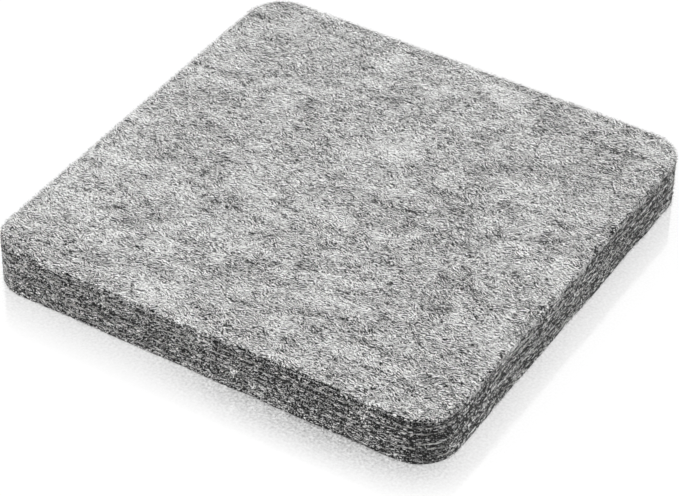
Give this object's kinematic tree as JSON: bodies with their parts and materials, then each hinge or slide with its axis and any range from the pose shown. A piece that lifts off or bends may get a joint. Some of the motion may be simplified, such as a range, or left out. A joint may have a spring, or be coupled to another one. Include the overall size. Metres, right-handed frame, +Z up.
{
  "type": "needle felting pad",
  "caption": "Square wool felt block with round corners, laminated from felt plies with bonding webs between them; lies flat under hand work and takes the points of felting needles.",
  "frame": {"origin": "centre of the face that the pad rests on", "axes": "+Z up through the plies, +X and +Y square to the pad's straight sides; the picture looks from +X and -Y, above"},
  "size_m": [0.2, 0.2, 0.021],
  "materials": {
    "grey_felt": "mottled grey wool felt, matt and fibrous",
    "pale_web": "thin unbleached fibre web, matt"
  },
  "bodies": {
    "root": {"bottom_felt_ply": "grey_felt", "bonding_web_1": "pale_web", "second_felt_ply": "grey_felt", "bonding_web_2": "pale_web", "third_felt_ply": "grey_felt", "bonding_web_3": "pale_web", "fourth_felt_ply": "grey_felt", "bonding_web_4": "pale_web", "fifth_felt_ply": "grey_felt", "bonding_web_5": "pale_web", "top_felt_ply": "grey_felt"}
  },
  "joints": []
}
